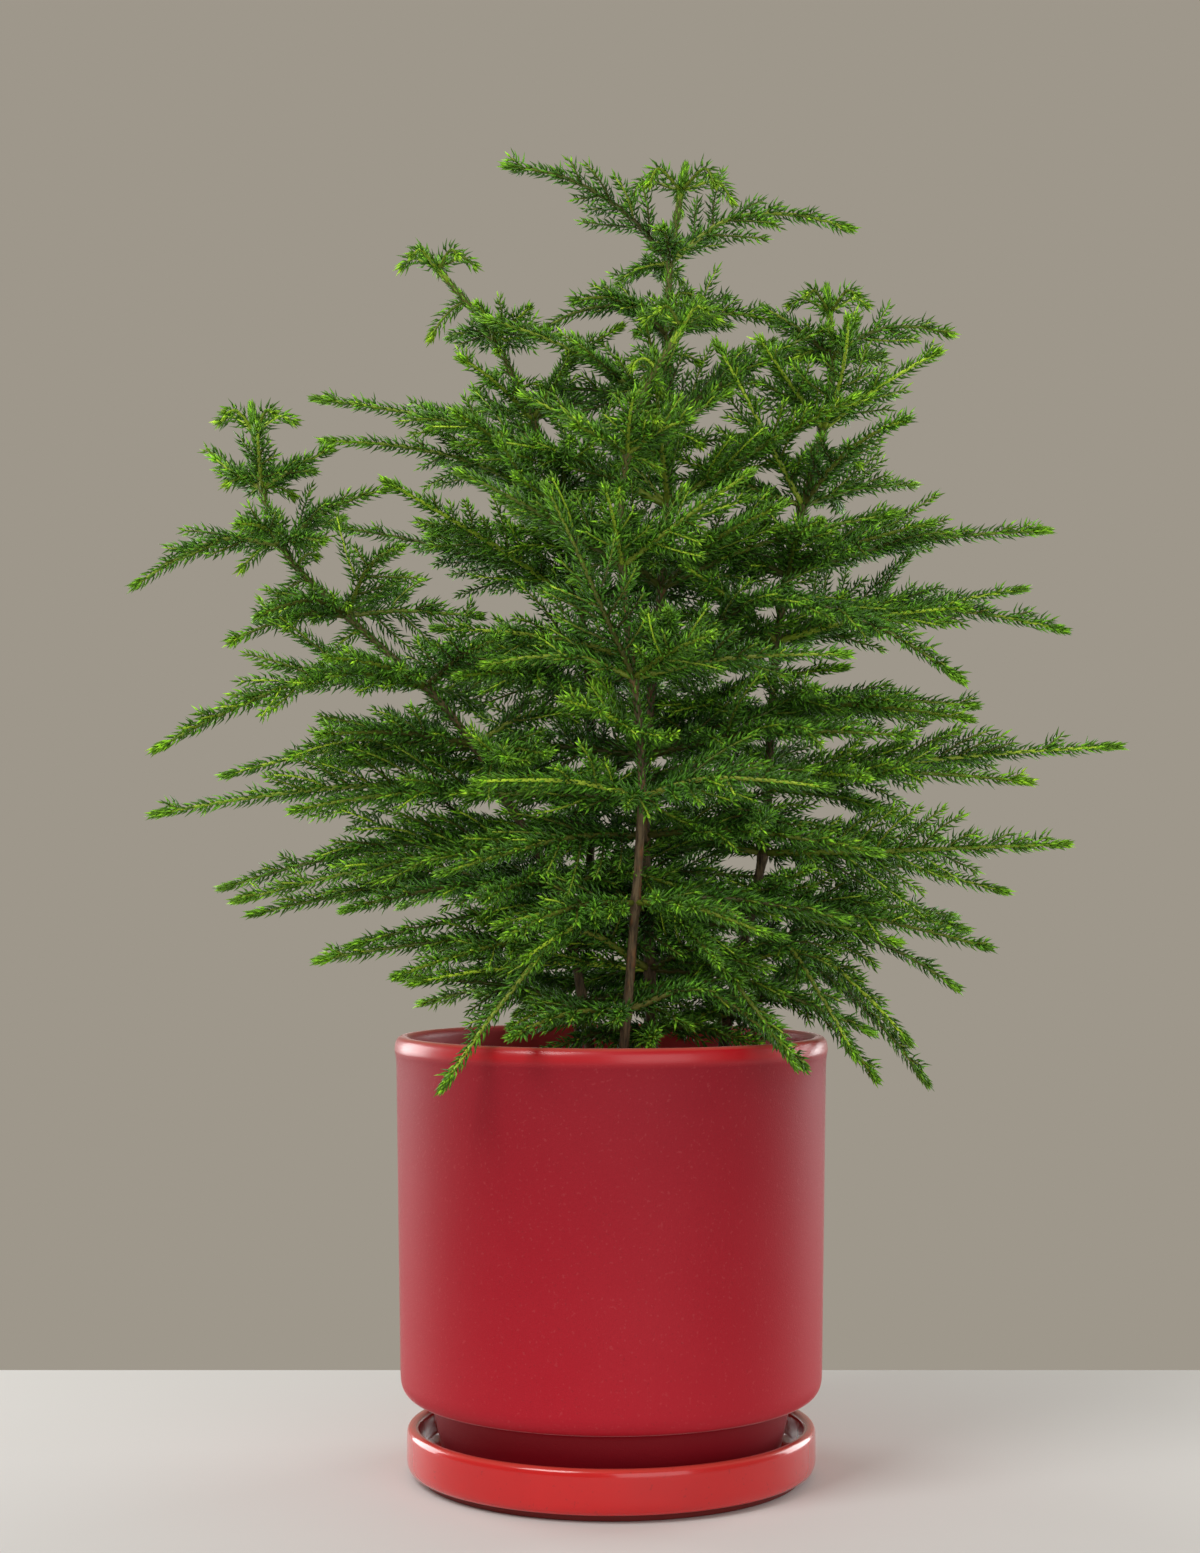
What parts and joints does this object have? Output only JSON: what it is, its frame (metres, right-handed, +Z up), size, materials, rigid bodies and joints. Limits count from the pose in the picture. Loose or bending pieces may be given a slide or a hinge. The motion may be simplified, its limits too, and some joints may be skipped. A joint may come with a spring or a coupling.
{
  "type": "potted young pine",
  "caption": "Young whorled pines growing together in a matt red ceramic cylinder pot with a recessed foot, standing in a glazed saucer.",
  "frame": {"origin": "middle of the saucer's flat underside, on the pot's axis", "axes": "+Z up along the pot's axis, -Y towards the side that faces the room"},
  "size_m": [0.4875, 0.3224, 0.6386],
  "materials": {
    "pot_glaze": "fine-grained matt red glaze",
    "saucer_glaze": "glossy red glaze",
    "stone": "rough drainage stone",
    "soil": "dark crumbly potting mix",
    "bark": "thin ridged brown bark",
    "foliage": "fresh green needles with a slight sheen"
  },
  "bodies": {
    "saucer": {"saucer": "saucer_glaze"},
    "potted_plant": {"drainage_stone": "stone", "leader_back": "foliage", "leader_front": "foliage", "leader_left": "foliage", "leader_right": "foliage", "leader_tall": "foliage", "pot": "pot_glaze", "potting_soil": "soil", "trunk_back": "bark", "trunk_front": "bark", "trunk_left": "bark", "trunk_right": "bark", "trunk_tall": "bark", "whorl_back_1": "foliage", "whorl_back_2": "foliage", "whorl_back_3": "foliage", "whorl_back_4": "foliage", "whorl_back_5": "foliage", "whorl_back_6": "foliage", "whorl_back_7": "foliage", "whorl_back_8": "foliage", "whorl_front_1": "foliage", "whorl_front_2": "foliage", "whorl_front_3": "foliage", "whorl_front_4": "foliage", "whorl_front_5": "foliage", "whorl_front_6": "foliage", "whorl_left_1": "foliage", "whorl_left_10": "foliage", "whorl_left_2": "foliage", "whorl_left_3": "foliage", "whorl_left_4": "foliage", "whorl_left_5": "foliage", "whorl_left_6": "foliage", "whorl_left_7": "foliage", "whorl_left_8": "foliage", "whorl_left_9": "foliage", "whorl_right_1": "foliage", "whorl_right_10": "foliage", "whorl_right_11": "foliage", "whorl_right_2": "foliage", "whorl_right_3": "foliage", "whorl_right_4": "foliage", "whorl_right_5": "foliage", "whorl_right_6": "foliage", "whorl_right_7": "foliage", "whorl_right_8": "foliage", "whorl_right_9": "foliage", "whorl_tall_1": "foliage", "whorl_tall_10": "foliage", "whorl_tall_11": "foliage", "whorl_tall_2": "foliage", "whorl_tall_3": "foliage", "whorl_tall_4": "foliage", "whorl_tall_5": "foliage", "whorl_tall_6": "foliage", "whorl_tall_7": "foliage", "whorl_tall_8": "foliage", "whorl_tall_9": "foliage"}
  },
  "joints": [
    {"name": "pot_lift", "type": "slide", "parent": "saucer", "child": "potted_plant", "axis": [0, 0, 1], "range_m": [0, 0.06]}
  ]
}
